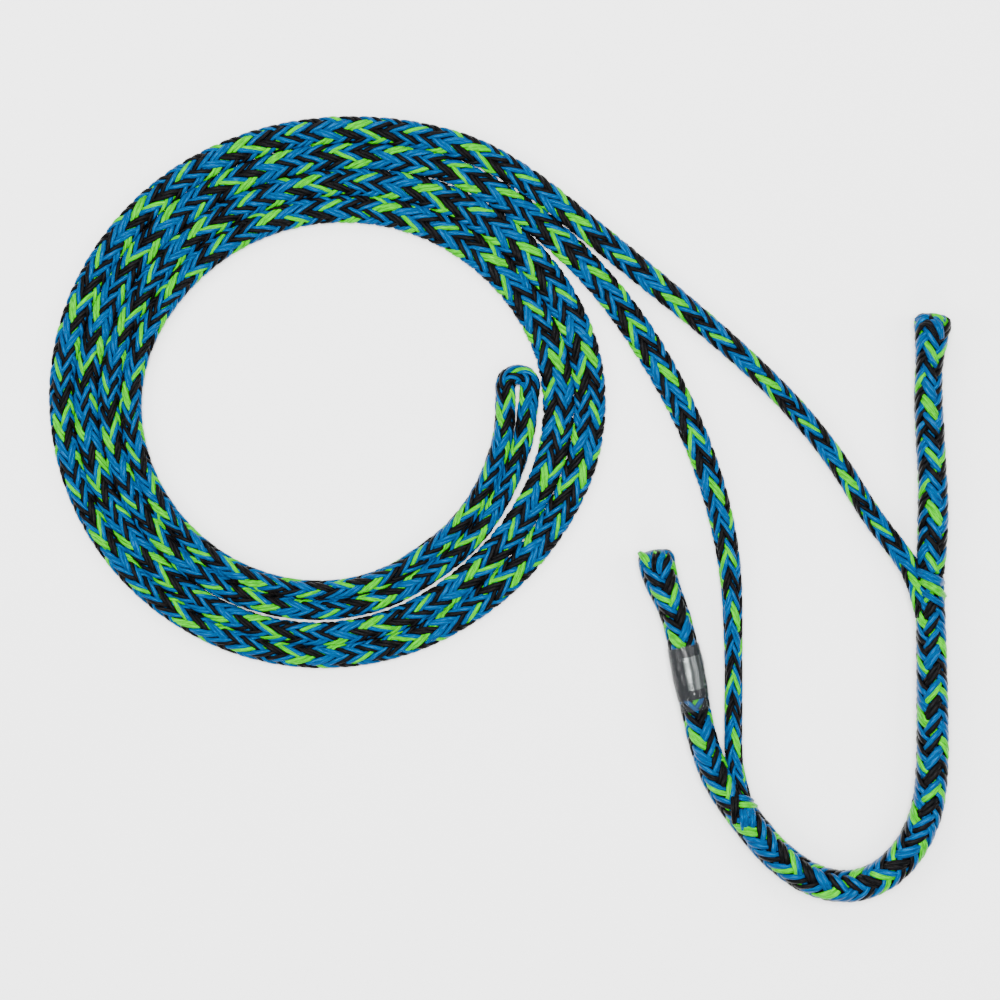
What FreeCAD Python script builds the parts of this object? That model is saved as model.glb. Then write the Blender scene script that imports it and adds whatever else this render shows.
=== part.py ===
import FreeCAD, Part
import math
import os

# Tow rope handle: an adjustable soft handle made of one length of hollow braided rope, laid flat.
# One end of the rope is opened out into a thick U-shaped grip that swallows the running part.
# The two legs run side by side into a flat coil two ropes wide, which ends in a folded loop.
# Millimetres. The origin is on the floor under the middle of the object's outline; +X is its
# length, +Y runs from the grip's bend towards the coil's far side, and +Z is up.

Vec = FreeCAD.Vector

# Driving dimensions
ROPE_DIA = 12.0            # running rope, as a round section
LAID_HEIGHT = 11.4         # rope as it lies pressed side by side in the coil
GRIP_DIA = 19.2            # braid opened out over the running line
TAIL_DIA = 17.6            # rope with its own end buried inside it
TAIL_CORE_DIA = 10.4       # the buried end
FOLD_DIA = 21.6            # widest part of the stopper tail's folded tip
SLEEVE_LENGTH = 33.0
SLEEVE_WALL = 0.5
BAND_THICKNESS = 0.25
LABEL_THICKNESS = 0.2
SLIDE_CLEARANCE = 0.35     # round the running tail, wherever it slides past the root
GRIP_BORE = ROPE_DIA + 2 * SLIDE_CLEARANCE

# Flat coil: its centre, and the doubled rope's outer and inner edges, one row per eighth of a
# turn. The first row is where the legs join, the last is beside the folded tip.
COIL_CENTRE = Vec(-100.6, 67.0, 0)
COIL_STEP = 45
COIL_START = 45
COIL_EDGES = [
    (178.0, 145.5), (159.8, 128.8), (157.8, 126.5), (161.0, 133.0),
    (160.0, 135.0), (158.9, 133.0), (157.8, 126.5), (161.0, 125.6),
    (144.5, 110.5), (128.0, 99.8), (126.0, 98.9), (132.5, 107.9),
    (134.5, 110.5), (131.0, 109.0), (125.0, 102.4), (124.1, 98.6),
]
OUTER, INNER = 0, 1
COIL_END = 652.5           # where the doubled rope leaves the coil for the end loop
OUTLINE_STEP = 15          # degrees between the outline's points

# Heights of the rope's centre line above the floor
LEG_Z = ROPE_DIA / 2
GRIP_Z = GRIP_DIA / 2
FAR_LEG_RISE_Z = 8.0       # the far leg on its way up into the grip
TAIL_Z = TAIL_DIA / 2 + BAND_THICKNESS + LABEL_THICKNESS + SLEEVE_WALL

# Routes as bends of the centre line, ends included
NEAR_LEG = [
    Vec(-5.0, 185.5, LEG_Z), Vec(30.0, 160.5, LEG_Z), Vec(61.5, 128.5, LEG_Z),
    Vec(86.5, 93.5, LEG_Z), Vec(108.0, 53.5, LEG_Z), Vec(124.0, 11.0, LEG_Z),
    Vec(133.2, -33.0, LEG_Z), Vec(135.2, -79.0, LEG_Z), Vec(135.2, -118.0, LEG_Z),
    Vec(134.6, -146.0, GRIP_Z),
]
FAR_LEG = [
    Vec(8.0, 195.5, LEG_Z), Vec(71.0, 147.5, LEG_Z), Vec(130.0, 98.5, LEG_Z),
    Vec(168.5, 61.5, LEG_Z), Vec(195.5, 28.0, LEG_Z), Vec(214.0, -3.0, LEG_Z),
    Vec(231.5, -27.0, FAR_LEG_RISE_Z), Vec(243.5, -45.0, GRIP_Z),
]
GRIP = [
    Vec(143.5, -182.5, GRIP_Z), Vec(158.5, -200.0, GRIP_Z), Vec(180.0, -216.0, GRIP_Z),
    Vec(205.0, -220.0, GRIP_Z), Vec(226.5, -210.0, GRIP_Z), Vec(242.0, -190.0, GRIP_Z),
    Vec(250.2, -163.0, GRIP_Z), Vec(250.2, -37.0, GRIP_Z),
]
LABEL_TAIL = [
    Vec(89.2, -24.5, TAIL_Z), Vec(91.5, -39.0, TAIL_Z), Vec(98.5, -54.5, TAIL_Z),
    Vec(104.3, -71.5, TAIL_Z), Vec(113.6, -120.5, TAIL_Z), Vec(118.4, -139.5, TAIL_Z),
    Vec(126.0, -158.5, TAIL_Z), Vec(137.5, -174.5, GRIP_Z), Vec(148.0, -187.0, GRIP_Z),
]
SLEEVE_BEND = 3            # the sleeve is on the straight run after this bend of the label tail
SLEEVE_OFFSET = 8.4        # from that bend to the sleeve's upper end
BAND_LENGTH = 26.0
BAND_INSET = 1.0           # from the sleeve's upper end to the band
LABEL_LENGTH = 19.0
LABEL_INSET = 3.0          # from the band's upper end to the label
LABEL_SPAN = 110           # degrees round the tail
LABEL_TURN = 20            # the label's first edge, from the side facing the near leg
TAIL_LENGTH = 149.5
MOUTH_B = GRIP[-1]
BURIED_SPLIT_Y = -146.0    # below this the running line is in the grip's bend
END_GAP = 0.4              # between end faces on different bodies
BURY_DEPTH = 7.0           # from a tail's tip to the buried end inside it

# End loop: the two ropes lie this far apart along a curve of (degrees, radius) about the coil's
# centre, and turn back through two square corners
LOOP_SPACING = 12.7
LOOP_CURVE = [(290, 113.5), (312, 113.2), (332, 112.0), (348, 110.6), (357, 109.4)]
LOOP_TIP_REACH = 17.0      # from the last point on the curve to the fold's corners
LOOP_TIP_WIDTH = 15.6
ARC_SHARE = 0.45           # of the shorter run that an arc takes up
AT_TIP = 0.5               # an edge centred this near a tail's tip is the tip's own


def rounded_route(name, points, share=ARC_SHARE):
    """Straight runs joined by tangent arcs, each as large as its two runs allow."""
    edges = []
    radii = []
    here = points[0]
    for before, corner, after in zip(points, points[1:], points[2:]):
        back = (before - corner).normalize()
        ahead = (after - corner).normalize()
        half_turn = (math.pi - back.getAngle(ahead)) / 2
        reach = share * min((before - corner).Length, (after - corner).Length)
        radius = reach / math.tan(half_turn)
        radii.append(radius)
        start = corner + back * reach
        end = corner + ahead * reach
        inward = (back + ahead).normalize()
        middle = corner + inward * (radius / math.cos(half_turn) - radius)
        edges.append(Part.LineSegment(here, start).toShape())
        edges.append(Part.Arc(start, middle, end).toShape())
        here = end
    edges.append(Part.LineSegment(here, points[-1]).toShape())
    if radii:
        print(name, "bend radii:", " ".join(f"{r:.1f}" for r in radii))
    return Part.Wire(edges)


def tube(name, points, diameter):
    """A round solid along a route, compared with its section times its length."""
    path = rounded_route(name, points)
    first = (points[1] - points[0]).normalize()
    section = Part.Wire([Part.Circle(points[0], first, diameter / 2).toShape()])
    solid = path.makePipeShell([section], True, False)
    expected = math.pi * diameter ** 2 / 4 * path.Length
    print(f"{name}: length {path.Length:.1f}, volume {solid.Volume / expected:.4f} of expected")
    return solid


def along(start, end, share):
    return start + (end - start) * share


def coil_edge(angle, side):
    """Distance of the doubled rope's edge from the coil's centre, at an angle along the coil."""
    place = (angle - COIL_START) / COIL_STEP
    row = min(max(int(math.floor(place)), 0), len(COIL_EDGES) - 2)
    t = place - row

    def value(index):
        if index < 0:
            return 2 * COIL_EDGES[0][side] - COIL_EDGES[1][side]
        return COIL_EDGES[min(index, len(COIL_EDGES) - 1)][side]

    a, b, c, d = (value(row + k) for k in (-1, 0, 1, 2))
    return b + t / 2 * (c - a + t * (2 * a - 5 * b + 4 * c - d + t * (3 * (b - c) + d - a)))


def on_coil(angle, radius, z=0.0):
    turn = math.radians(angle)
    return COIL_CENTRE + Vec(radius * math.cos(turn), radius * math.sin(turn), z)


def coil_outline(first, last, side):
    """One closed edge line of the coil: a full turn of spiral and a short radial step."""
    count = int(round((last - first) / OUTLINE_STEP))
    angles = [first + (last - first) * k / count for k in range(count + 1)]
    points = [on_coil(a, coil_edge(a, side)) for a in angles]
    spiral = Part.BSplineCurve()
    spiral.interpolate(points)
    step = Part.LineSegment(points[-1], points[0])
    return Part.Wire([spiral.toShape(), step.toShape()])


def make_rope_coil(height):
    """The flat coil's outer shape: the doubled rope, wound once and a half, lying side by side."""
    outer = Part.Face(coil_outline(COIL_START, COIL_START + 360, OUTER))
    inner = Part.Face(coil_outline(COIL_END - 360, COIL_END, INNER))
    return outer.cut(inner).extrude(Vec(0, 0, height)).Solids[0]


def make_end_loop(coil_room):
    """The doubled rope past the coil: out along one side, round the fold, back along the other."""
    sides = [[on_coil(angle, middle + side * LOOP_SPACING / 2, LEG_Z)
              for angle, middle in LOOP_CURVE] for side in (-1, 1)]
    tip_angle = math.radians(LOOP_CURVE[-1][0])
    outward = Vec(math.cos(tip_angle), math.sin(tip_angle), 0)
    onward = Vec(-outward.y, outward.x, 0)
    middle = (sides[0][-1] + sides[1][-1]) * 0.5 + onward * LOOP_TIP_REACH
    corners = [middle - outward * LOOP_TIP_WIDTH / 2, middle + outward * LOOP_TIP_WIDTH / 2]
    return tube("end_loop", sides[0] + corners + sides[1][::-1], ROPE_DIA).cut(coil_room)


def make_grip(grip_envelope, mouth_a):
    """The opened braid: a hollow U with room for the running line."""
    return grip_envelope.cut(tube("grip_bore", [mouth_a] + GRIP, GRIP_BORE))


def make_running_line_bend(mouth_a):
    """The buried line as far as the grip's straight side, where its sliding part begins."""
    line = tube("running_line_bend", [mouth_a] + GRIP, ROPE_DIA)
    straight_side = Part.makeBox(GRIP_DIA, MOUTH_B.y - BURIED_SPLIT_Y + GRIP_DIA, GRIP_DIA,
                                 Vec(MOUTH_B.x - GRIP_DIA / 2, BURIED_SPLIT_Y, 0))
    return line.cut(straight_side)


def rod(start, axis, radius, length):
    return Part.makeCylinder(radius, length, start, axis)


def make_running_line_straight():
    start = Vec(MOUTH_B.x, BURIED_SPLIT_Y + END_GAP, GRIP_Z)
    return rod(start, Vec(0, 1, 0), ROPE_DIA / 2, MOUTH_B.y - start.y + END_GAP)


def make_stopper_tail():
    """The running line's end, turned back into itself: a straight braid with a rounded tip."""
    base = MOUTH_B + Vec(0, END_GAP, 0)
    body = rod(base, Vec(0, 1, 0), TAIL_DIA / 2, TAIL_LENGTH - FOLD_DIA / 2)
    fold_centre = base + Vec(0, TAIL_LENGTH - FOLD_DIA / 2, 0)
    fold = Part.makeSphere(FOLD_DIA / 2, fold_centre)
    floor = Part.makeBox(2 * FOLD_DIA, 2 * FOLD_DIA, FOLD_DIA,
                         fold_centre - Vec(FOLD_DIA, FOLD_DIA, FOLD_DIA + GRIP_Z))
    core = rod(base, Vec(0, 1, 0), TAIL_CORE_DIA / 2, TAIL_LENGTH - BURY_DEPTH)
    braid = body.fuse(fold).cut(floor).cut(core).removeSplitter()
    return braid, core


def main_piece(shape):
    """The largest solid left after a cut, without slivers."""
    return max(shape.Solids, key=lambda solid: solid.Volume)


def make_label_tail(neighbours):
    """The grip braid's own end, turned back into itself, and the buried end inside it."""
    outer = tube("label_tail_braid", LABEL_TAIL, TAIL_DIA)
    tip = LABEL_TAIL[0]
    tip_edges = [e for e in outer.Edges if (e.CenterOfMass - tip).Length < AT_TIP]
    outer = outer.makeFillet(TAIL_DIA / 4, tip_edges)
    inward = (LABEL_TAIL[1] - tip).normalize()
    core_route = [tip + inward * BURY_DEPTH] + LABEL_TAIL[1:]
    core = tube("label_tail_core", core_route, TAIL_CORE_DIA)
    return main_piece(outer.cut(core).cut(neighbours)), main_piece(core.cut(neighbours))


def make_far_leg(coil_room, grip_envelope):
    """The far leg, ending on the grip's side where its braid opens out, clear of the tail."""
    leg = tube("far_leg", FAR_LEG, ROPE_DIA)
    slide_room = rod(MOUTH_B, Vec(0, 1, 0), TAIL_DIA / 2 + SLIDE_CLEARANCE, TAIL_LENGTH)
    return main_piece(leg.cut(coil_room).cut(grip_envelope).cut(slide_room))


def make_sleeve_parts():
    """Black band, label and clear sleeve, one over the other on the label tail's straight run."""
    bend = LABEL_TAIL[SLEEVE_BEND]
    axis = (LABEL_TAIL[SLEEVE_BEND + 1] - bend).normalize()
    top = bend + axis * SLEEVE_OFFSET
    radius = TAIL_DIA / 2
    band_top = top + axis * BAND_INSET
    band = ring(band_top, axis, radius, BAND_THICKNESS, BAND_LENGTH)
    radius += BAND_THICKNESS
    label_top = band_top + axis * LABEL_INSET
    label = ring(label_top, axis, radius, LABEL_THICKNESS, LABEL_LENGTH)
    label = label.common(label_sector(label_top, axis))
    radius += LABEL_THICKNESS
    sleeve = ring(top, axis, radius, SLEEVE_WALL, SLEEVE_LENGTH)
    return band, label, sleeve


def ring(start, axis, inner_radius, thickness, length):
    outer = rod(start, axis, inner_radius + thickness, length)
    return outer.cut(rod(start, axis, inner_radius, length))


def label_sector(start, axis):
    """A wedge about the tail's axis that leaves the label's share of a ring."""
    side = Vec(0, 0, 1).cross(axis) * TAIL_DIA

    def spoke(degrees):
        return start + FreeCAD.Rotation(axis, degrees).multVec(side)

    first, last = spoke(LABEL_TURN), spoke(LABEL_TURN + LABEL_SPAN)
    wedge = Part.Wire([
        Part.LineSegment(start, first).toShape(),
        Part.Arc(first, spoke(LABEL_TURN + LABEL_SPAN / 2), last).toShape(),
        Part.LineSegment(last, start).toShape(),
    ])
    return Part.Face(wedge).extrude(axis * LABEL_LENGTH)


def main():
    os.makedirs("parts", exist_ok=True)
    mouth_a = along(NEAR_LEG[-1], GRIP[0], 0.5)
    coil_room = make_rope_coil(2 * ROPE_DIA)
    near_leg = main_piece(tube("near_leg", NEAR_LEG + [mouth_a], ROPE_DIA).cut(coil_room))
    grip_envelope = tube("grip_braid", [mouth_a] + GRIP, GRIP_DIA)
    grip = make_grip(grip_envelope, mouth_a)
    label_tail, label_core = make_label_tail(grip_envelope.fuse(near_leg))
    stopper_tail, stopper_core = make_stopper_tail()
    band, label, sleeve = make_sleeve_parts()
    nodes = {
        "grip_braid": grip,
        "running_line_bend": make_running_line_bend(mouth_a),
        "running_line_straight": make_running_line_straight(),
        "near_leg": near_leg,
        "far_leg": make_far_leg(coil_room, grip_envelope),
        "rope_coil": make_rope_coil(LAID_HEIGHT),
        "end_loop": make_end_loop(coil_room),
        "stopper_tail_braid": stopper_tail,
        "stopper_tail_core": stopper_core,
        "label_tail_braid": label_tail,
        "label_tail_core": label_core,
        "label_band": band,
        "label": label,
        "clear_sleeve": sleeve,
    }
    for name, shape in nodes.items():
        shape.exportStep(f"parts/{name}.step")
        box = shape.BoundBox
        print(f"{name}: {len(shape.Solids)} solid, valid {shape.isValid()}, "
              f"volume {shape.Volume:.0f}, "
              f"x {box.XMin:.1f}..{box.XMax:.1f} y {box.YMin:.1f}..{box.YMax:.1f} "
              f"z {box.ZMin:.1f}..{box.ZMax:.1f}")


main()
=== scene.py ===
import math
import random

import bpy
import numpy as np
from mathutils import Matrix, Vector


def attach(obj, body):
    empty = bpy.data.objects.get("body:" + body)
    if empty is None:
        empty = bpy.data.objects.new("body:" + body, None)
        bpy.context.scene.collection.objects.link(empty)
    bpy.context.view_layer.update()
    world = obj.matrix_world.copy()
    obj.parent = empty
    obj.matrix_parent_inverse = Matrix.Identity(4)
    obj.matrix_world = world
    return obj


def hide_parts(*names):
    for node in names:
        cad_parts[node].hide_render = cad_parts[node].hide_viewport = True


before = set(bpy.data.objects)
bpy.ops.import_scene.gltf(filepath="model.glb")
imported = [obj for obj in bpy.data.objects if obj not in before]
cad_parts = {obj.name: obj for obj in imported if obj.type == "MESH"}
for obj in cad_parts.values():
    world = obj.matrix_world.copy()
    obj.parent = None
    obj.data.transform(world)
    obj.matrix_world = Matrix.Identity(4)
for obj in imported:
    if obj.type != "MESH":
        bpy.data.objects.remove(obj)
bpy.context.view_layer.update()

# Tow rope handle: the rope's own braid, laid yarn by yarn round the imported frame.
# Lengths in the tables are millimetres and are turned into metres where they are used.
MM = 0.001
random.seed(455)

# Camera, straight above the middle of the layout
CAMERA_PLACE = (-0.0003, 0.0049, 1.617)
LENS = 100.0
SENSOR = 36.0

# Heights of the centre lines of the grip and of the label tail
GRIP_Z = 9.6
TAIL_Z = 9.75

# Running rope, first leg: from inside the mouth it dives into, out to the coil
NEAR_LEG = [
    (143.5, -182.5, GRIP_Z), (139.05, -164.25, GRIP_Z), (134.6, -146.0, 8.5), (135.2, -118.0, 5.6),
    (135.2, -79.0, 5.4), (133.8, -33.0, 5.3), (124.3, 11.1, 5.0), (108.3, 53.6, 4.5),
    (86.5, 93.5, 4.3), (61.5, 128.5, 4.2), (30.0, 160.5, 4.3), (-5.0, 185.5, 4.4),
]
NEAR_WIDTHS = [10.4, 10.4, 10.4, 10.8, 10.4, 13.5, 15.2, 16.2, 18.0, 17.0, 17.0, 16.2]
# Second leg: from the coil to inside the grip's other mouth
FAR_LEG = [
    (8.9, 196.7, 4.6), (70.4, 146.7, 4.8), (129.7, 98.1, 4.9), (168.5, 61.5, 5.0),
    (195.5, 28.0, 5.0), (214.0, -3.0, 5.2), (229.5, -23.0, 7.8), (241.0, -40.0, 10.4),
    (245.5, -62.0, 10.4),
]
FAR_WIDTHS = [15.6, 15.9, 13.6, 13.0, 12.8, 12.6, 12.6, 13.0, 12.0]
HIGHEST = 10.8             # of the running rope's section
ROPE_AREA = 131.0          # its width times its height, where it is pressed wider

# Flat coil: its centre, and the doubled rope's outer and inner edges at every COIL_STEP degrees
COIL_CENTRE = (-100.6, 67.0)
COIL_STEP = 45.0
COIL_START = 45.0
COIL_EDGES = [
    (174.5, 144.8), (159.4, 128.6), (158.4, 126.4), (161.3, 133.0),
    (161.0, 134.8), (159.4, 133.5), (157.9, 125.9), (162.4, 125.8),
    (146.4, 109.7), (128.6, 98.4), (126.4, 98.3), (132.7, 107.9),
    (134.7, 110.5), (131.3, 109.2), (126.0, 103.0), (124.1, 98.6),
]
TURN_POINTS = 18           # control points to a turn of the coil
COIL_FIRST = 65.0          # degrees
COIL_LAST = 645.0
NEAR_SHARE = 0.25          # where the two ropes lie, as a share of the pair from its inner edge
FAR_SHARE = 0.75
COIL_PRESS = 0.9           # neighbouring ropes press into each other by this much

# End loop: angle about the coil's centre, radius of the pair's middle, distance between its sides
LOOP_CURVE = [(665, 115.2, 11.3), (678, 114.2, 11.2), (692, 112.5, 11.0), (707, 111.6, 11.9),
              (717, 110.3, 13.3)]
LOOP_TIP_REACH = 16.4      # from the curve's last point to the fold's corners
LOOP_TIP_WIDTH = 15.2
LOOP_WIDTH = 12.0
LOOP_Z = 5.4

# Label tail and grip, one braid: from the tail's tip to the mouth the other leg comes out of
TAIL_AND_GRIP = [
    (89.2, -24.5, TAIL_Z), (91.5, -39.0, TAIL_Z), (98.5, -54.5, TAIL_Z), (104.3, -71.5, TAIL_Z),
    (113.6, -120.5, TAIL_Z), (118.4, -139.5, TAIL_Z), (126.0, -158.5, TAIL_Z),
    (137.5, -174.5, GRIP_Z), (148.0, -187.5, GRIP_Z), (158.5, -200.0, GRIP_Z),
    (180.0, -216.0, GRIP_Z), (205.0, -220.0, GRIP_Z), (226.5, -210.0, GRIP_Z),
    (242.0, -190.0, GRIP_Z), (250.2, -163.0, GRIP_Z), (249.9, -100.0, GRIP_Z),
    (248.4, -38.0, GRIP_Z),
]
TAIL_AND_GRIP_WIDTHS = [22.6, 20.8, 17.4, 17.3, 17.3, 17.4, 17.8,
                        18.8, 19.0, 19.0, 19.0, 19.0, 19.0, 19.0, 19.0, 18.6, 16.4]
TAIL_AND_GRIP_TURNS = [0.0] * 10 + [-0.02, -0.04, -0.06] + [-0.07] * 4
TAIL_AND_GRIP_HIGHEST = 19.0
LABEL_TAIL_LENGTH = 166.0  # along that braid, from the tip to the mouth
CUT_OVERLAP = 0.0015       # metres that the grip's yarns run on under the label tail's end
LABEL_TIP = 0.0075         # metres of each tail that are drawn in at its tip
STOPPER_TIP = 0.0085
STOPPER_TAIL = [           # from its tip to the mouth
    (250.6, 112.2, 10.0), (248.2, 88.0, 9.6), (247.4, 66.0, 8.8), (248.6, 43.0, 8.9),
    (250.0, 20.0, 9.2), (250.5, -10.0, GRIP_Z), (248.9, -37.0, GRIP_Z),
]
STOPPER_WIDTHS = [24.6, 15.4, 16.9, 17.2, 16.9, 18.8, 16.4]
STOPPER_HIGHEST = 18.0
STOPPER_TURN = 0.41
STOPPER_ORIGIN = 0.3
STOPPER_LEAD = 61.0
# Straight stretch of the running line, inside the grip
BURIED_LINE = [(250.2, -145.0, GRIP_Z), (250.2, -90.0, GRIP_Z), (250.2, -30.0, GRIP_Z)]
BURIED_WIDTH = 11.0

# Lead: the length of rope in which a strand goes once round. Turn: how far the rope is twisted
# about its own line, as a share of a full turn. A list has one value per control point.
COIL_LEAD = 68.5
LOOP_LEAD = 65.6
FAR_COIL_LEAD = 68.95
TAIL_LEAD = 58.0
NEAR_LEADS = [72.0, 73.5, 73.5, 73.5, 73.5, 73.5, 73.0, 72.5, 72.0, 70.0, 68.0, 68.0]
FAR_LEADS = [73.0, 73.0, 72.0, 72.0, 73.0, 73.5, 73.5, 73.5, 73.5]
NEAR_TURNS = [0.36] * 9 + [0.34, 0.31, 0.28]
NEAR_COIL_TURNS = [0.25] * 10 + [0.22, 0.18, 0.14, 0.10, 0.07, 0.04, 0.02] + [0.0] * 13
LOOP_TURN = 0.21
FAR_COIL_TURN = 0.167
FAR_TURNS = [0.12] + [0.06] * 8
RUNNING_ORIGIN = 0.068     # where the first strand starts, in leads

# The braid: twelve strands of two yarns. Each letter is a yarn: blue, black (K) or green.
STRANDS = (["GG", "BK", "KB", "GB", "KB", "BB"], ["KK", "BK", "BK", "BB", "KK", "BG"])
# The label tail and grip run the other way along the rope
GRIP_STRANDS = (["GG", "BB", "BK", "BG", "BK", "KB"], ["BB", "KB", "KB", "KK", "GB", "KK"])
STRANDS_EACH_WAY = 6
YARNS_EACH_WAY = 12
FULLNESS = 2.3             # of the section's superellipse
TOP = 0.25                 # the share of the way round the section where its top is
PERIMETER_EXCESS = 1.03    # of that section over the mean of two circles
GATHER = (0.56, 0.30, 0.8)   # a strand's two yarns lie closer together where they dive
FLATNESS = 0.17            # keeps a float level over most of its length
FLOAT_WIDTH = (0.74, 0.26, 0.7)    # a yarn is widest in the middle of its float
FLOAT_THIN = (0.85, 0.15)  # and thinnest there
YARN_OVERLAP = 1.06
YARN_SIDES = 8
FIBRE_LENGTH = 0.012       # metres of yarn to one unit of the fibre noise
TAIL_BRAID = dict(spread=1.05, thick=1.75 * MM, lift=0.85 * MM, loose=1.4)

# Steps along the routes, in metres
ROPE_STEP = COIL_LEAD * MM / 40
TAIL_STEP = 0.0010
LINE_STEP = 0.0016
STRAP_STEP = 0.7 * MM

# Dark tube inside a braid, painted shade seen between its strands: how much smaller it is than the
# rope
ROPE_WALL = 6.2 * MM
TAIL_WALL = 6.4 * MM
SHADE_TUBE_LEAST = 1.2 * MM
SHADE_TUBE_SIDES = 16
SHADE_TUBE_EVERY = 3            # uses every third place along the route


def metres(points):
    return [tuple(MM * c for c in p) for p in points]


def on_coil(angle, radius, z):
    turn = math.radians(angle)
    return (COIL_CENTRE[0] + radius * math.cos(turn), COIL_CENTRE[1] + radius * math.sin(turn), z)


def coil_edges(angle):
    """Outer and inner radius of the doubled rope at an angle along the coil: a cubic through
    the table's rows, with its slopes taken from the rows on either side."""
    place = (angle - COIL_START) / COIL_STEP
    row = min(max(int(math.floor(place)), 0), len(COIL_EDGES) - 2)
    t = place - row
    radii = []
    for side in (0, 1):
        a, b, c, d = (COIL_EDGES[min(max(row + k, 0), len(COIL_EDGES) - 1)][side]
                      for k in (-1, 0, 1, 2))
        radii.append(b + t / 2 * (c - a + t * (2 * a - 5 * b + 4 * c - d
                                               + t * (3 * (b - c) + d - a))))
    return radii


def rope_height(width):
    """A rope pressed wider is lower: its section keeps about the same area."""
    return min(HIGHEST, ROPE_AREA / width)


def coil_points(share):
    """Control points of one rope of the pair, at a share of the pair's width from its inside."""
    step = 360.0 / TURN_POINTS
    count = int(round((COIL_LAST - COIL_FIRST) / step))
    points, widths = [], []
    for k in range(count + 1):
        angle = COIL_FIRST + (COIL_LAST - COIL_FIRST) * k / count
        outer, inner = coil_edges(angle)
        width = (outer - inner) / 2
        radius = (inner + share * (outer - inner)) / math.cos(math.radians(step / 2))
        points.append(on_coil(angle, radius, rope_height(width) / 2))
        widths.append(width + COIL_PRESS)
    return points, widths


def running_route():
    """The whole running rope: near leg, coil, end loop, coil again, far leg."""
    near, near_widths = coil_points(NEAR_SHARE)
    far, far_widths = coil_points(FAR_SHARE)
    sides = [[on_coil(angle, middle + side * apart / 2, LOOP_Z)
              for angle, middle, apart in LOOP_CURVE] for side in (-1, 1)]
    tip_angle = math.radians(LOOP_CURVE[-1][0])
    outward = Vector((math.cos(tip_angle), math.sin(tip_angle), 0))
    onward = Vector((-outward.y, outward.x, 0))
    middle = (Vector(sides[0][-1]) + Vector(sides[1][-1])) / 2 + onward * LOOP_TIP_REACH
    corners = [tuple(middle + outward * (side * LOOP_TIP_WIDTH / 2)) for side in (-1, 1)]
    loop = sides[0] + corners + sides[1][::-1]
    points = NEAR_LEG + near + loop + far[::-1] + FAR_LEG
    widths = NEAR_WIDTHS + near_widths + [LOOP_WIDTH] * len(loop) + far_widths[::-1] + FAR_WIDTHS
    turns = (NEAR_TURNS + NEAR_COIL_TURNS + [LOOP_TURN] * len(loop)
             + [FAR_COIL_TURN] * len(far) + FAR_TURNS)
    leads = (NEAR_LEADS + [COIL_LEAD] * len(near) + [LOOP_LEAD] * len(loop)
             + [FAR_COIL_LEAD] * len(far) + FAR_LEADS)
    sections = [(w, rope_height(w), t, lead) for w, t, lead in zip(widths, turns, leads)]
    return points, sections


def unit(vectors):
    return vectors / np.linalg.norm(vectors, axis=1)[:, None]


def read_spline(points, resolution=24):
    """Points read from the NURBS spline that has these as its control points."""
    curve = bpy.data.curves.new("route", "CURVE")
    curve.dimensions = "3D"
    curve.resolution_u = resolution
    spline = curve.splines.new("NURBS")
    spline.points.add(len(points) - 1)
    for point, place in zip(spline.points, points):
        point.co = (*place, 1.0)
    spline.order_u = 3
    spline.use_endpoint_u = True
    carrier = bpy.data.objects.new("route", curve)
    mesh = bpy.data.meshes.new_from_object(carrier)
    line = np.array([v.co[:] for v in mesh.vertices])
    bpy.data.objects.remove(carrier)
    bpy.data.curves.remove(curve)
    bpy.data.meshes.remove(mesh)
    return line


def lay(points, sections, step):
    """A route every `step` metres along its spline: place, frame, size, turn, lead and phase.

    A section is (width, height, turn, lead), one per control point. The phase counts leads.
    """
    line = read_spline(metres(points))
    shape = read_spline([section[:3] for section in sections])
    leads = read_spline([(section[3], 0.0, 0.0) for section in sections])[:, 0]
    run = np.concatenate([[0], np.cumsum(np.linalg.norm(np.diff(line, axis=0), axis=1))])
    count = int(round(run[-1] / step)) + 1
    s = np.linspace(0, run[-1], count)
    place = np.stack([np.interp(s, run, line[:, k]) for k in range(3)], axis=1)
    width, height, turn = (np.interp(s, run, shape[:, k]) for k in range(3))
    lead = np.interp(s, run, leads) * MM
    phase = np.concatenate([[0], np.cumsum(np.diff(s) / ((lead[1:] + lead[:-1]) / 2))])
    ahead = unit(np.gradient(place, axis=0))
    side = unit(np.cross(ahead, (0.0, 0.0, 1.0)))
    up = np.cross(side, ahead)
    return {"s": s, "place": place, "side": side, "up": up, "ahead": ahead,
            "width": width * MM, "height": height * MM, "turn": turn,
            "lead": lead, "phase": phase}


def kept(s, part):
    """The slice of a route that lies between the two lengths in `part`."""
    return slice(None) if part is None else slice(*np.searchsorted(s, part))


def power(value, exponent):
    """A power that keeps the sign, for superellipses."""
    return np.sign(value) * np.abs(value) ** exponent


# Rows and columns of the section table
ASPECTS = np.linspace(0.3, 1.0, 15)
SHARES = np.linspace(0, 1, 361)


def section_table():
    """For each height-to-width ratio, the angle at each share of the way round the section."""
    angle = np.linspace(0, 2 * math.pi, 2881)
    rows = []
    for aspect in ASPECTS:
        x = power(np.cos(angle), 2 / FULLNESS)
        y = aspect * power(np.sin(angle), 2 / FULLNESS)
        run = np.concatenate([[0], np.cumsum(np.hypot(np.diff(x), np.diff(y)))])
        rows.append(np.interp(SHARES * run[-1], run, angle))
    return np.array(rows)


SECTION = section_table()


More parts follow.
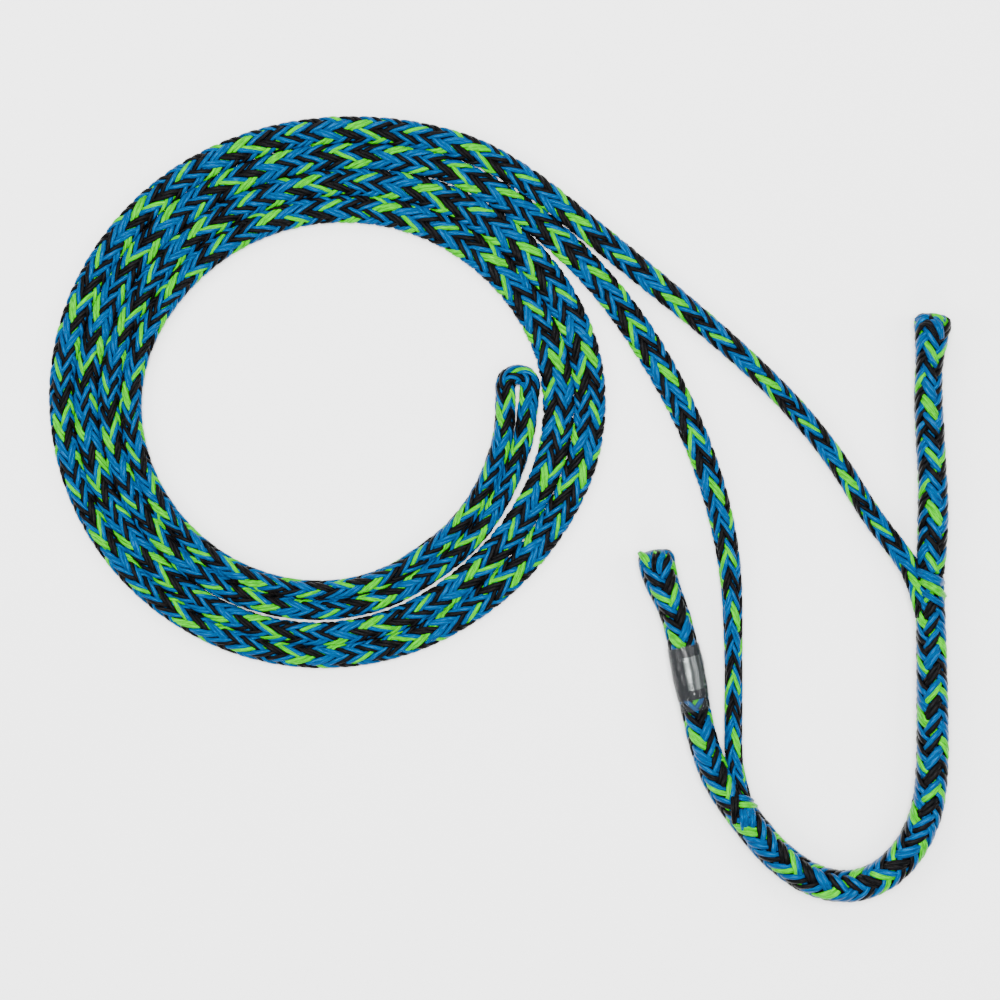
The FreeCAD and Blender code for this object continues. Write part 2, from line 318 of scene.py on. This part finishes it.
def section_angle(share, aspect):
    """The section table, read between its rows and columns."""
    share = np.mod(share, 1.0) * (len(SHARES) - 1)
    column = np.clip(share.astype(int), 0, len(SHARES) - 2)
    across = share - column
    place = (np.clip(aspect, ASPECTS[0], ASPECTS[-1]) - ASPECTS[0]) / (ASPECTS[1] - ASPECTS[0])
    row = np.clip(place.astype(int), 0, len(ASPECTS) - 2)
    down = place - row
    low = SECTION[row, column] * (1 - across) + SECTION[row, column + 1] * across
    high = SECTION[row + 1, column] * (1 - across) + SECTION[row + 1, column + 1] * across
    return low * (1 - down) + high * down


def wander(s, size, wave):
    """A smooth seeded wander along the rope."""
    total = np.zeros_like(s)
    for _ in range(3):
        length = wave * random.uniform(0.6, 1.7)
        total += np.sin(2 * math.pi * s / length + random.uniform(0, 2 * math.pi))
    return total * size / 2


def wale_place(about):
    """Which wale a yarn is in, and how far across it, at shares of the way round the section."""
    wale = (about - TOP) * STRANDS_EACH_WAY
    return np.floor(wale), wale - np.floor(wale)


def tube(centre, across, out, wide, thick, s, seed, sides):
    """Rings of an ellipse along a centre line, closed at both ends: points, faces, end faces and
    the fibre coordinates that the yarn material reads."""
    angles = np.arange(sides) * 2 * math.pi / sides
    cos, sin = np.cos(angles), np.sin(angles)
    rings = (centre[:, None, :]
             + across[:, None, :] * (wide / 2)[:, None, None] * cos[None, :, None]
             + out[:, None, :] * (thick / 2)[:, None, None] * sin[None, :, None])
    fibre = np.empty((len(centre), sides, 3))
    fibre[:, :, 0] = cos
    fibre[:, :, 1] = sin
    fibre[:, :, 2] = s[:, None] / FIBRE_LENGTH + seed
    index = np.arange(len(centre) * sides).reshape(-1, sides)
    here, after = index[:-1], index[1:]
    faces = np.stack([here, np.roll(here, -1, axis=1), np.roll(after, -1, axis=1), after],
                     axis=2).reshape(-1, 4)
    caps = [index[0][::-1].tolist(), index[-1].tolist()]
    return rings.reshape(-1, 3), faces, caps, fibre.reshape(-1, 3)


def yarn_mesh(centre, normal, wide, thick, s, seed):
    """One yarn, with its thin way along the normals given."""
    ahead = unit(np.gradient(centre, axis=0))
    across = unit(np.cross(ahead, normal))
    return tube(centre, across, np.cross(across, ahead), wide, thick, s, seed, YARN_SIDES)


def braid(route, origin, spread=1.14, thick=1.7 * MM, lift=0.78 * MM, loose=1.0,
          part=None, dome=None, strands=STRANDS):
    """All the yarns of a braid along a route, as {colour: [yarn mesh, ...]}.

    Six strands of two yarns go round each way, over two and under two. The origin is where the
    first one starts, in leads. `lift` is how far a float rises, `loose` scales the wander, `part`
    is the stretch that is kept and `dome` draws a tip in.
    """
    s, lead = route["s"], route["lead"]
    keep = kept(s, part)
    wide_mean = route["width"] - thick - 2 * lift
    high_mean = route["height"] - thick - 2 * lift
    if dome is not None:
        wide_mean = wide_mean * dome
        high_mean = high_mean * dome
    perimeter = math.pi * (wide_mean + high_mean) / 2 * PERIMETER_EXCESS
    pitch = lead / YARNS_EACH_WAY * np.sin(np.arctan(perimeter / lead))
    made = {"B": [], "K": [], "G": []}
    for family, laid in zip((1, -1), strands):
        half_strand = 0 if family == 1 else 0.5 / STRANDS_EACH_WAY
        for k, strand in enumerate(laid):
            start = origin + k / STRANDS_EACH_WAY - half_strand
            ahead = route["phase"] - start - wander(s, 0.005 * loose, 0.11)
            for yarn, colour in enumerate(strand):
                offset = (yarn - 0.5) / YARNS_EACH_WAY
                across = wale_place(TOP + family * (ahead - offset))[1]
                float_ = np.sin(math.pi * across)     # 0 where the yarn dives, 1 mid-float
                gather = GATHER[0] + GATHER[1] * float_ ** GATHER[2]
                about = TOP + family * (ahead - offset * gather)
                wale, across = wale_place(about)
                over = np.where((wale % 2 == 1) == (family == 1), 1.0, -1.0)
                rise = over * (np.sin(math.pi * across)
                               + FLATNESS * np.sin(3 * math.pi * across)) / (1 - FLATNESS)
                angle = section_angle(about + route["turn"], high_mean / wide_mean)
                cos, sin = np.cos(angle), np.sin(angle)
                x = wide_mean / 2 * power(cos, 2 / FULLNESS)
                z = high_mean / 2 * power(sin, 2 / FULLNESS)
                nx = power(cos, 2 - 2 / FULLNESS) / wide_mean
                nz = power(sin, 2 - 2 / FULLNESS) / high_mean
                size = np.hypot(nx, nz)
                nx, nz = (nx / size)[:, None], (nz / size)[:, None]
                normal = route["side"] * nx + route["up"] * nz
                level = (lift * rise + wander(s, 0.08 * MM * loose, 0.05))[:, None]
                centre = (route["place"] + route["side"] * x[:, None]
                          + route["up"] * z[:, None] + normal * level)
                fat = 1 + wander(s, 0.05, 0.04)
                swell = FLOAT_WIDTH[0] + FLOAT_WIDTH[1] * float_ ** FLOAT_WIDTH[2]
                wide = pitch * spread * swell * fat * YARN_OVERLAP
                high = np.full_like(s, thick) / (FLOAT_THIN[0] + FLOAT_THIN[1] * float_)
                seed = random.uniform(0, 100)
                made[colour].append(yarn_mesh(centre[keep], normal[keep], wide[keep],
                                              high[keep], s[keep], seed))
    return made


def add_piece(name, mesh, look, body):
    mesh.polygons.foreach_set("use_smooth", [True] * len(mesh.polygons))
    mesh.materials.append(look)
    piece = bpy.data.objects.new(name, mesh)
    bpy.context.scene.collection.objects.link(piece)
    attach(piece, body)
    return piece


def make_piece(name, tubes, look, body):
    """One object from several tubes."""
    verts, faces, caps, fibres, start = [], [], [], [], 0
    for points, quads, ends, fibre in tubes:
        verts.append(points)
        fibres.append(fibre)
        faces.append(quads + start)
        caps += [[i + start for i in cap] for cap in ends]
        start += len(points)
    mesh = bpy.data.meshes.new(name)
    mesh.from_pydata(np.concatenate(verts).tolist(), [],
                     np.concatenate(faces).tolist() + caps)
    mesh.attributes.new("fibre", "FLOAT_VECTOR", "POINT").data.foreach_set(
        "vector", np.concatenate(fibres).astype(np.float32).ravel())
    return add_piece(name, mesh, look, body)


def painted_shade_tube(name, route, wall, body, part=None, dome=None):
    """A dark tube inside a braid: painted shade, seen between its strands."""
    keep = kept(route["s"], part)
    shrink = np.ones_like(route["s"]) if dome is None else dome
    wide, high = ((np.maximum(route[key] - wall, SHADE_TUBE_LEAST) * shrink)[keep][::SHADE_TUBE_EVERY]
                  for key in ("width", "height"))
    place, side, up, s = (route[key][keep][::SHADE_TUBE_EVERY] for key in ("place", "side", "up", "s"))
    # It takes the black yarn's look, as painted shade
    return make_piece(name, [tube(place, side, up, wide, high, s, 0.0, SHADE_TUBE_SIDES)],
                      YARN["K"], body)


def material(name):
    """A new material, its nodes, its links and its shader."""
    made = bpy.data.materials.new(name)
    made.use_nodes = True
    nodes = made.node_tree.nodes
    return made, nodes, made.node_tree.links, nodes["Principled BSDF"]


def yarn_material(name, painted_shade_streak, base, painted_highlight_streak, roughness, specular, tint):
    """Glossy multifilament yarn: fine lines along the yarn in colour, gloss and relief; in colour
    the lighter lines are painted highlight on the filaments and the darker lines are painted shade
    between them.
    """
    made, nodes, links, shader = material(name)
    fibre = nodes.new("ShaderNodeAttribute")
    fibre.attribute_name = "fibre"
    lines = nodes.new("ShaderNodeTexNoise")
    lines.inputs["Scale"].default_value = 3.2
    lines.inputs["Detail"].default_value = 3.0
    lines.inputs["Roughness"].default_value = 0.62
    links.new(fibre.outputs["Vector"], lines.inputs["Vector"])
    # The ramp's darker end is painted shade between the filaments, its lighter end painted
    # highlight on them, and the yarn's own colour lies in the middle
    ramp = nodes.new("ShaderNodeValToRGB")
    ramp.color_ramp.elements[0].position = 0.30
    ramp.color_ramp.elements[0].color = (*painted_shade_streak, 1)
    ramp.color_ramp.elements[1].position = 0.74
    ramp.color_ramp.elements[1].color = (*painted_highlight_streak, 1)
    middle = ramp.color_ramp.elements.new(0.50)
    middle.color = (*base, 1)
    links.new(lines.outputs["Fac"], ramp.inputs["Fac"])
    links.new(ramp.outputs["Color"], shader.inputs["Base Color"])
    gloss = nodes.new("ShaderNodeMapRange")
    gloss.inputs["To Min"].default_value = roughness + 0.14
    gloss.inputs["To Max"].default_value = roughness - 0.12
    links.new(lines.outputs["Fac"], gloss.inputs["Value"])
    links.new(gloss.outputs["Result"], shader.inputs["Roughness"])
    relief = nodes.new("ShaderNodeBump")
    relief.inputs["Strength"].default_value = 0.55
    relief.inputs["Distance"].default_value = 0.0004
    links.new(lines.outputs["Fac"], relief.inputs["Height"])
    links.new(relief.outputs["Normal"], shader.inputs["Normal"])
    shader.inputs["Specular IOR Level"].default_value = specular
    shader.inputs["Specular Tint"].default_value = (*tint, 1)
    return made


def plain_material(name, colour, roughness, grain, relief_size, specular=0.5, depth=0.78):
    """A smooth surface with a fine grain in colour and relief; `depth` is its darkest share."""
    made, nodes, links, shader = material(name)
    place = nodes.new("ShaderNodeTexCoord")
    noise = nodes.new("ShaderNodeTexNoise")
    noise.inputs["Scale"].default_value = grain
    noise.inputs["Detail"].default_value = 4.0
    links.new(place.outputs["Object"], noise.inputs["Vector"])
    ramp = nodes.new("ShaderNodeValToRGB")
    ramp.color_ramp.elements[0].position = 0.3
    ramp.color_ramp.elements[0].color = (*[depth * c for c in colour], 1)
    ramp.color_ramp.elements[1].position = 0.7
    ramp.color_ramp.elements[1].color = (*colour, 1)
    links.new(noise.outputs["Fac"], ramp.inputs["Fac"])
    links.new(ramp.outputs["Color"], shader.inputs["Base Color"])
    relief = nodes.new("ShaderNodeBump")
    relief.inputs["Strength"].default_value = 0.4
    relief.inputs["Distance"].default_value = relief_size
    links.new(noise.outputs["Fac"], relief.inputs["Height"])
    links.new(relief.outputs["Normal"], shader.inputs["Normal"])
    shader.inputs["Roughness"].default_value = roughness
    shader.inputs["Specular IOR Level"].default_value = specular
    return made


def silver_material():
    made = plain_material("silver label film", (0.085, 0.095, 0.092), 0.24, 500, 0.00001)
    made.node_tree.nodes["Principled BSDF"].inputs["Metallic"].default_value = 0.9
    return made


def clear_material():
    made, nodes, links, shader = material("clear shrink film")
    place = nodes.new("ShaderNodeTexCoord")
    noise = nodes.new("ShaderNodeTexNoise")
    noise.inputs["Scale"].default_value = 160.0
    links.new(place.outputs["Object"], noise.inputs["Vector"])
    relief = nodes.new("ShaderNodeBump")
    relief.inputs["Strength"].default_value = 0.06
    relief.inputs["Distance"].default_value = 0.0003
    links.new(noise.outputs["Fac"], relief.inputs["Height"])
    links.new(relief.outputs["Normal"], shader.inputs["Normal"])
    shader.inputs["Base Color"].default_value = (0.05, 0.055, 0.06, 1)
    shader.inputs["Roughness"].default_value = 0.07
    shader.inputs["Specular IOR Level"].default_value = 0.3
    shader.inputs["Alpha"].default_value = 0.13
    return made


# The yarns' letters, as in STRANDS, with their looks and the colour names used for pieces
# Each look: painted shade, the yarn's own colour, painted highlight, then roughness, specular
# level and specular tint
YARN = {
    "B": yarn_material("blue yarn", (0.000, 0.006, 0.030), (0.000, 0.030, 0.105),
                       (0.000, 0.085, 0.22), 0.38, 0.5, (0.00, 0.30, 0.75)),
    "K": yarn_material("black yarn", (0.0001, 0.0002, 0.0003), (0.0003, 0.0004, 0.0006),
                       (0.010, 0.0075, 0.007), 0.40, 0.28, (0.12, 0.13, 0.14)),
    "G": yarn_material("lime yarn", (0.002, 0.08, 0.000), (0.010, 0.27, 0.000),
                       (0.060, 0.58, 0.000), 0.42, 0.35, (0.20, 0.90, 0.00)),
}
COLOUR_NAMES = {"B": "blue", "K": "black", "G": "green"}


def tip_dome(s, reach, bluntness=2.6, least=0.06):
    """How far the braid is drawn in near the route's start: 1 along the tail, least at its tip."""
    x = np.clip(1 - s / reach, 0, 1)
    return np.maximum((1 - x ** bluntness) ** (1 / bluntness), least)


def make_camera():
    camera_data = bpy.data.cameras.new("camera")
    camera_data.lens = LENS
    camera_data.sensor_width = SENSOR
    camera = bpy.data.objects.new("camera", camera_data)
    camera.location = CAMERA_PLACE
    bpy.context.scene.collection.objects.link(camera)
    bpy.context.scene.camera = camera


# Colour and number of pieces that its yarns are shared out over, to keep each piece light
RUNNING_PIECES = (("B", 3), ("K", 2), ("G", 1))


def make_running_rope():
    points, sections = running_route()
    route = lay(points, sections, ROPE_STEP)
    yarns = braid(route, RUNNING_ORIGIN)
    for colour, parts in RUNNING_PIECES:
        size = math.ceil(len(yarns[colour]) / parts)
        for k in range(parts):
            label = f"running_rope_{COLOUR_NAMES[colour]}" + (f"_{k + 1}" if parts > 1 else "")
            make_piece(label, yarns[colour][k * size:(k + 1) * size],
                                     YARN[colour], "rope_handle")
    painted_shade_tube("running_rope_painted_shade", route, ROPE_WALL, "rope_handle")
    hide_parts("near_leg", "rope_coil", "end_loop", "far_leg")


def tail_pieces(prefix, yarns, body):
    return [make_piece(f"{prefix}_{COLOUR_NAMES[c]}", yarns[c], YARN[c], body)
            for c in "BKG"]


def make_label_tail_and_grip():
    """One braid, cut at the mouth into the label tail and the grip."""
    sections = [(w, min(w, TAIL_AND_GRIP_HIGHEST), turn, TAIL_LEAD)
                for w, turn in zip(TAIL_AND_GRIP_WIDTHS, TAIL_AND_GRIP_TURNS)]
    route = lay(TAIL_AND_GRIP, sections, TAIL_STEP)
    s = route["s"]
    dome = tip_dome(s, LABEL_TIP)
    mouth = LABEL_TAIL_LENGTH * MM
    end = s[-1] + 1
    # Both parts are laid with the same random draws, so that the strands run on through the cut
    state = random.getstate()
    tail = braid(route, 0.0, part=(0.0, mouth), dome=dome, strands=GRIP_STRANDS, **TAIL_BRAID)
    random.setstate(state)
    grip = braid(route, 0.0, part=(mouth - CUT_OVERLAP, end), dome=dome, strands=GRIP_STRANDS,
                 **TAIL_BRAID)
    pieces = tail_pieces("label_tail", tail, "rope_handle")
    pieces.append(painted_shade_tube("label_tail_painted_shade", route, TAIL_WALL, "rope_handle",
                        part=(0.0, mouth), dome=dome))
    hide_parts("label_tail_braid", "label_tail_core")
    cut = np.searchsorted(s, mouth)
    grip_pieces = tail_pieces("grip", grip, "rope_handle")
    grip_pieces.append(painted_shade_tube("grip_painted_shade", route, TAIL_WALL, "rope_handle", part=(mouth, end)))
    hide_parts("grip_braid", "running_line_bend")
    dress_label(route, cut)


def make_stopper_tail():
    """The sliding tail, with the straight stretch of running line that it draws out."""
    sections = [(w, min(w, STOPPER_HIGHEST), STOPPER_TURN, STOPPER_LEAD) for w in STOPPER_WIDTHS]
    route = lay(STOPPER_TAIL, sections, TAIL_STEP)
    s = route["s"]
    dome = tip_dome(s, STOPPER_TIP)
    yarns = braid(route, STOPPER_ORIGIN, dome=dome, **TAIL_BRAID)
    pieces = tail_pieces("stopper_tail", yarns, "running_tail")
    pieces.append(painted_shade_tube("stopper_tail_painted_shade", route, TAIL_WALL, "running_tail", dome=dome))
    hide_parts("stopper_tail_braid", "stopper_tail_core")
    section = (BURIED_WIDTH, BURIED_WIDTH, 0.0, COIL_LEAD)
    buried = lay(BURIED_LINE, [section] * len(BURIED_LINE), LINE_STEP)
    line = tail_pieces("running_line", braid(buried, 0.0), "running_tail")
    painted_shade_tube("running_line_painted_shade", buried, ROPE_WALL, "running_tail")
    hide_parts("running_line_straight")


# Straps: strands seen by themselves where the braid closes over a mouth or a tip
STRAP_THICKNESS = 1.7
STRAP_YARNS = 2
STRAP_GATHER = 0.86        # its yarns overlap a little, and each is a little wider than its share
STRAP_SPREAD = 1.12
STRAP_TAPER = (0.12, 0.88)   # the part of a half wave that its width follows
MOUTH_STRAPS = [
    # name, colour, places, width
    ("mouth_b_blue", "B", [(239.4, -35.6, 10.0), (241.4, -36.6, 16.5), (245.5, -38.8, 19.6),
                           (250.6, -41.1, 19.6), (254.8, -43.0, 16.4), (256.4, -44.0, 9.0)], 5.3),
    ("mouth_b_green", "G", [(241.6, -41.0, 11.5), (243.4, -42.2, 18.2), (248.8, -45.6, 20.6),
                            (254.0, -48.8, 18.2), (257.2, -51.2, 10.0)], 4.7),
    ("mouth_b_low", "B", [(243.0, -48.4, 13.0), (245.5, -49.6, 19.4), (250.5, -53.0, 20.2),
                          (255.0, -56.0, 17.6)], 3.6),
    ("mouth_a_blue", "B", [(134.5, -166.0, 12.0), (137.0, -166.1, 17.8), (141.0, -166.9, 17.8),
                           (144.6, -168.4, 14.6), (146.2, -169.4, 9.0)], 3.6),
    ("mouth_a_green", "G", [(134.8, -170.4, 14.0), (137.2, -170.4, 18.9), (141.8, -170.4, 18.8),
                            (146.0, -171.2, 15.0), (148.4, -172.5, 9.0)], 3.7),
    ("mouth_a_black", "K", [(133.6, -156.0, 11.0), (134.0, -160.5, 15.6), (134.6, -168.0, 18.8),
                            (134.5, -176.0, 20.0), (134.6, -181.5, 17.0)], 4.4),
    ("mouth_a_upright", "B", [(139.4, -170.6, 15.0), (139.7, -174.5, 19.8),
                              (140.2, -180.0, 20.3), (140.6, -186.5, 16.0)], 5.2),
    ("label_tip_green", "G", [(80.2, -25.5, 12.0), (82.0, -27.0, 16.8), (84.5, -30.5, 18.4),
                              (86.8, -34.0, 16.0)], 4.4),
    ("label_tip_black", "K", [(89.5, -24.8, 13.0), (88.6, -27.5, 18.6), (88.2, -32.0, 20.0),
                              (88.4, -36.5, 18.0)], 3.4),
    ("label_tip_blue", "B", [(93.5, -26.0, 14.0), (92.2, -28.5, 18.8), (90.9, -33.0, 20.2),
                             (91.6, -37.5, 18.6)], 3.8),
]
STOPPER_STRAPS = [
    ("stopper_tip_low", "B", [(239.9, 109.0, 10.0), (242.3, 110.6, 14.4), (246.0, 110.6, 16.4),
                              (248.6, 109.4, 15.0)], 3.4),
    ("stopper_tip_black", "K", [(240.2, 105.6, 10.0), (243.0, 107.6, 16.4),
                                (247.5, 106.6, 19.4), (250.6, 102.8, 20.2),
                                (252.4, 98.6, 18.6)], 4.4),
    ("stopper_tip_blue", "B", [(246.6, 110.4, 13.0), (249.0, 109.2, 17.6),
                               (251.7, 105.8, 20.0), (253.4, 101.4, 20.0),
                               (254.2, 98.0, 17.0)], 4.8),
    ("stopper_tip_green", "G", [(246.2, 110.9, 11.5), (248.6, 111.5, 14.8),
                                (252.4, 111.0, 16.4), (255.4, 108.4, 16.6),
                                (256.4, 105.6, 14.5)], 3.0),
]


def straight_out(places, line):
    """Directions away from the middle of a strap's ends, the side it is laid against."""
    ends = np.array(metres([places[0], places[-1]]))
    inside = ends.mean(axis=0) - np.array([0, 0, 2 * MM])
    return unit(line - inside)


def strap(name, colour, places, width, body):
    """Flat yarns side by side on one route."""
    route = lay(places, [(width, width, 0.0, COIL_LEAD)] * len(places), STRAP_STEP)
    line = route["place"]
    taper = np.sin(math.pi * np.linspace(*STRAP_TAPER, len(line))) ** 0.5
    each = width * MM / STRAP_YARNS
    across = unit(np.cross(route["ahead"], straight_out(places, line)))
    out = np.cross(across, route["ahead"])
    thick = np.full(len(line), STRAP_THICKNESS * MM)
    yarns = []
    for k in range(STRAP_YARNS):
        shift = (k - (STRAP_YARNS - 1) / 2) * each * STRAP_GATHER * taper
        yarns.append(yarn_mesh(line + across * shift[:, None], out, each * STRAP_SPREAD * taper,
                               thick, route["s"], random.uniform(0, 100)))
    make_piece(name, yarns, YARN[colour], body)


def make_straps():
    for straps, body in ((MOUTH_STRAPS, "rope_handle"), (STOPPER_STRAPS, "running_tail")):
        for name, colour, places, width in straps:
            strap(name, colour, places, width, body)


# Label, band and sleeve: where they start and end (Y), the share of a turn they cover, how far
# they lie under the sleeve's outside, and the height of their ripples
SLEEVE_RADII = [9.6, 10.05, 10.0, 9.7, 9.0]     # at even steps along the sleeve
SLEEVE_ENDS = (-79.2, -116.6)
SHEETS = [
    # name, node replaced, first Y, last Y, turn from, turn to, depth, ripple
    ("black_band", "label_band", -79.9, -110.2, -0.25, 0.75, 0.42, 0.05),
    ("silver_label", "label", -85.8, -104.8, 0.205, 0.49, 0.28, 0.03),
    ("clear_sleeve_film", "clear_sleeve", *SLEEVE_ENDS, -0.25, 0.75, 0.0, 0.16),
]
RIPPLES = [(2, 0.0051), (5, -0.0033), (3, 0.0019)]   # waves to a turn, metres to a radian
RIPPLE_SUM = 1.7
SHEET_ROWS = 40
SHEET_COLUMNS = 49
SHEET_WALL = 0.22
SHARP_ANGLE = math.radians(50)


def sheet(route, cut, first, last, turns, depth, ripple):
    """A thin sheet wrapped round the label tail: its points and faces."""
    down = -route["place"][:cut, 1]
    start, end, sleeve_start, sleeve_end = (np.interp(-y * MM, down, route["s"][:cut])
                                            for y in (first, last, *SLEEVE_ENDS))
    rows = np.linspace(start, end, SHEET_ROWS)
    place, side, up = (np.stack([np.interp(rows, route["s"], route[key][:, k])
                                 for k in range(3)], axis=1) for key in ("place", "side", "up"))
    theta = 2 * math.pi * np.linspace(*turns, SHEET_COLUMNS)
    profile = np.interp((rows - sleeve_start) / (sleeve_end - sleeve_start),
                        np.linspace(0, 1, len(SLEEVE_RADII)), SLEEVE_RADII)
    waves = sum(np.sin(around * theta[None, :] + rows[:, None] / along)
                for around, along in RIPPLES) / RIPPLE_SUM
    radius = (profile[:, None] - depth + ripple * waves) * MM
    out = (side[:, None, :] * np.cos(theta)[None, :, None]
           + up[:, None, :] * np.sin(theta)[None, :, None])
    outer = place[:, None, :] + out * radius[:, :, None]
    inner = outer - out * SHEET_WALL * MM
    ring = np.concatenate([outer, inner[:, ::-1]], axis=1)
    count = ring.shape[1]
    index = np.arange(ring.shape[0] * count).reshape(-1, count)
    here, after = index[:-1], index[1:]
    faces = np.stack([here, after, np.roll(after, -1, axis=1), np.roll(here, -1, axis=1)],
                     axis=2).reshape(-1, 4).tolist()
    for edge, flip in ((index[0], 1), (index[-1], -1)):
        for k in range(SHEET_COLUMNS - 1):
            corners = [edge[k], edge[k + 1], edge[count - 2 - k], edge[count - 1 - k]]
            faces.append([int(c) for c in corners[::flip]])
    return ring.reshape(-1, 3), faces


def dress_label(route, cut):
    """The band, the blank label and the clear sleeve round the label tail."""
    looks = {
        "black_band": (plain_material("black band", (0.0008, 0.0009, 0.0012), 0.30, 300, 0.00002,
                                      specular=0.12), "black_band"),
        "silver_label": (silver_material(), "silver_label"),
        "clear_sleeve_film": (clear_material(), "clear_shrink"),
    }
    for name, node, first, last, start, end, depth, ripple in SHEETS:
        points, faces = sheet(route, cut, first, last, (start, end), depth, ripple)
        mesh = bpy.data.meshes.new(name)
        mesh.from_pydata(points.tolist(), [], faces)
        piece = add_piece(name, mesh, looks[name][0], "rope_handle")
        mesh.set_sharp_from_angle(angle=SHARP_ANGLE)
        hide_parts(node)


# Studio
FLOOR_REACH = 3.0
FLOOR_Z = -0.0002          # just under the part, so that the two don't share a plane
WORLD_STRENGTH = 0.35
LIGHTS = [
    # name, place, size, watts
    ("top light", (0.0, 0.15, 2.4), 1.1, 150.0),
    ("back light", (-0.3, 1.5, 1.2), 1.0, 30.0),
    ("left light", (-1.5, -0.2, 1.2), 1.0, 28.0),
    ("right light", (1.5, 0.2, 1.2), 1.0, 22.0),
    ("front light", (0.2, -1.5, 1.2), 1.0, 18.0),
]


def make_studio():
    floor_mesh = bpy.data.meshes.new("floor")
    corners = [(x * FLOOR_REACH, y * FLOOR_REACH, 0)
               for x, y in ((-1, -1), (1, -1), (1, 1), (-1, 1))]
    floor_mesh.from_pydata(corners, [], [(0, 1, 2, 3)])
    floor_mesh.materials.append(plain_material("pale floor", (0.97, 0.97, 0.97), 0.7, 3, 0.0001,
                                               specular=0.2, depth=0.97))
    floor = bpy.data.objects.new("floor", floor_mesh)
    floor.location = (0, 0, FLOOR_Z)
    bpy.context.scene.collection.objects.link(floor)
    world = bpy.data.worlds.new("studio")
    world.use_nodes = True
    background = world.node_tree.nodes["Background"]
    background.inputs["Color"].default_value = (1, 1, 1, 1)
    background.inputs["Strength"].default_value = WORLD_STRENGTH
    bpy.context.scene.world = world
    for name, place, size, energy in LIGHTS:
        light_data = bpy.data.lights.new(name, "AREA")
        light_data.size = size
        light_data.energy = energy
        light = bpy.data.objects.new(name, light_data)
        light.location = place
        light.rotation_euler = (-Vector(place)).to_track_quat("-Z", "Y").to_euler()
        bpy.context.scene.collection.objects.link(light)


make_camera()
make_running_rope()
make_label_tail_and_grip()
make_stopper_tail()
make_straps()
make_studio()
